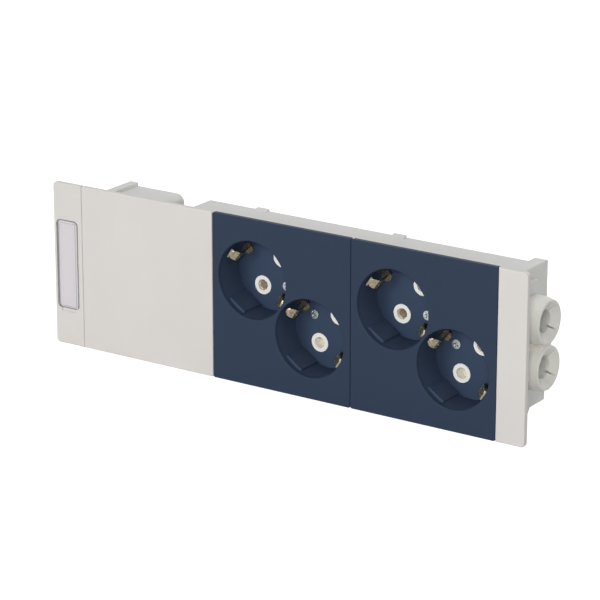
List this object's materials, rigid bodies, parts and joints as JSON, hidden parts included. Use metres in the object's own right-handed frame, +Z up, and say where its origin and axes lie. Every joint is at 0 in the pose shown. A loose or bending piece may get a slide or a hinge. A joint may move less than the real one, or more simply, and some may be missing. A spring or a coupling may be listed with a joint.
{
  "type": "trunking socket outlet",
  "caption": "Snap-in socket outlet unit for wall trunking: dark plates with slanting pairs of round wells, a blank plate, end trims, a label window and slit cable entries.",
  "frame": {"origin": "middle of the unit in the plane where the front plates rest on the trunking's lips", "axes": "+X to the right along the trunking, +Y into the trunking, +Z up"},
  "size_m": [0.2714, 0.0451, 0.084],
  "materials": {
    "front_white": "satin moulded",
    "front_blue": "satin moulded",
    "frame_white": "moulded",
    "housing_white": "moulded, slightly translucent",
    "bushing_white": "soft moulded",
    "label_card": "blank",
    "label_clear": "clear",
    "guide_white": "moulded",
    "block_grey": "moulded",
    "shutter_cream": "moulded",
    "strip_brass": "stamped",
    "sleeve_brass": "drawn, dull",
    "spring_steel": "bright",
    "screw_steel": "zinc plated",
    "wire_brown": "extruded",
    "wire_blue": "extruded",
    "wire_green": "extruded"
  },
  "bodies": {
    "unit": {"base_frame": "frame_white", "socket_housing": "housing_white", "terminal_box": "housing_white", "end_cap": "housing_white", "cable_entry_left": "bushing_white", "cable_entry_right": "bushing_white", "left_end_trim": "front_white", "right_end_trim": "front_white", "label_card": "label_card", "socket_cover_1": "front_blue", "socket_cover_2": "front_blue", "pin_guide_1": "guide_white", "pin_guide_2": "guide_white", "contact_block_1": "block_grey", "contact_block_2": "block_grey", "earth_strip": "strip_brass", "line_rail": "strip_brass", "neutral_rail": "strip_brass", "line_contacts": "sleeve_brass", "neutral_contacts": "sleeve_brass", "terminal_sleeves": "sleeve_brass", "cover_screws": "screw_steel", "terminal_screws": "screw_steel", "terminal_block": "block_grey", "line_wire": "wire_brown", "neutral_wire": "wire_blue", "earth_wire": "wire_green", "shutter_spring_1_upper": "spring_steel", "shutter_spring_1_lower": "spring_steel", "shutter_spring_2_upper": "spring_steel", "shutter_spring_2_lower": "spring_steel"},
    "blank_cover": {"blank_cover": "front_white"},
    "label_window": {"label_window": "label_clear"},
    "shutter_1_upper": {"shutter_1_upper": "shutter_cream"},
    "shutter_1_lower": {"shutter_1_lower": "shutter_cream"},
    "shutter_2_upper": {"shutter_2_upper": "shutter_cream"},
    "shutter_2_lower": {"shutter_2_lower": "shutter_cream"}
  },
  "joints": [
    {"name": "shutter_1_upper_slide", "type": "slide", "parent": "unit", "child": "shutter_1_upper", "axis": [0.8192, 0, -0.5736], "range_m": [0, 0.0058], "stiffness_N_per_m": 60, "springref_m": -0.003, "deforming": ["shutter_spring_1_upper"]},
    {"name": "shutter_1_lower_slide", "type": "slide", "parent": "unit", "child": "shutter_1_lower", "axis": [-0.8192, 0, 0.5736], "range_m": [0, 0.0058], "stiffness_N_per_m": 60, "springref_m": -0.003, "deforming": ["shutter_spring_1_lower"]},
    {"name": "shutter_2_upper_slide", "type": "slide", "parent": "unit", "child": "shutter_2_upper", "axis": [0.8192, 0, -0.5736], "range_m": [0, 0.0058], "stiffness_N_per_m": 60, "springref_m": -0.003, "deforming": ["shutter_spring_2_upper"]},
    {"name": "shutter_2_lower_slide", "type": "slide", "parent": "unit", "child": "shutter_2_lower", "axis": [-0.8192, 0, 0.5736], "range_m": [0, 0.0058], "stiffness_N_per_m": 60, "springref_m": -0.003, "deforming": ["shutter_spring_2_lower"]},
    {"name": "blank_cover_pull", "type": "slide", "parent": "unit", "child": "blank_cover", "axis": [0, -1, 0], "range_m": [0, 0.06]},
    {"name": "label_window_pull", "type": "slide", "parent": "unit", "child": "label_window", "axis": [0, -1, 0], "range_m": [0, 0.03]}
  ]
}
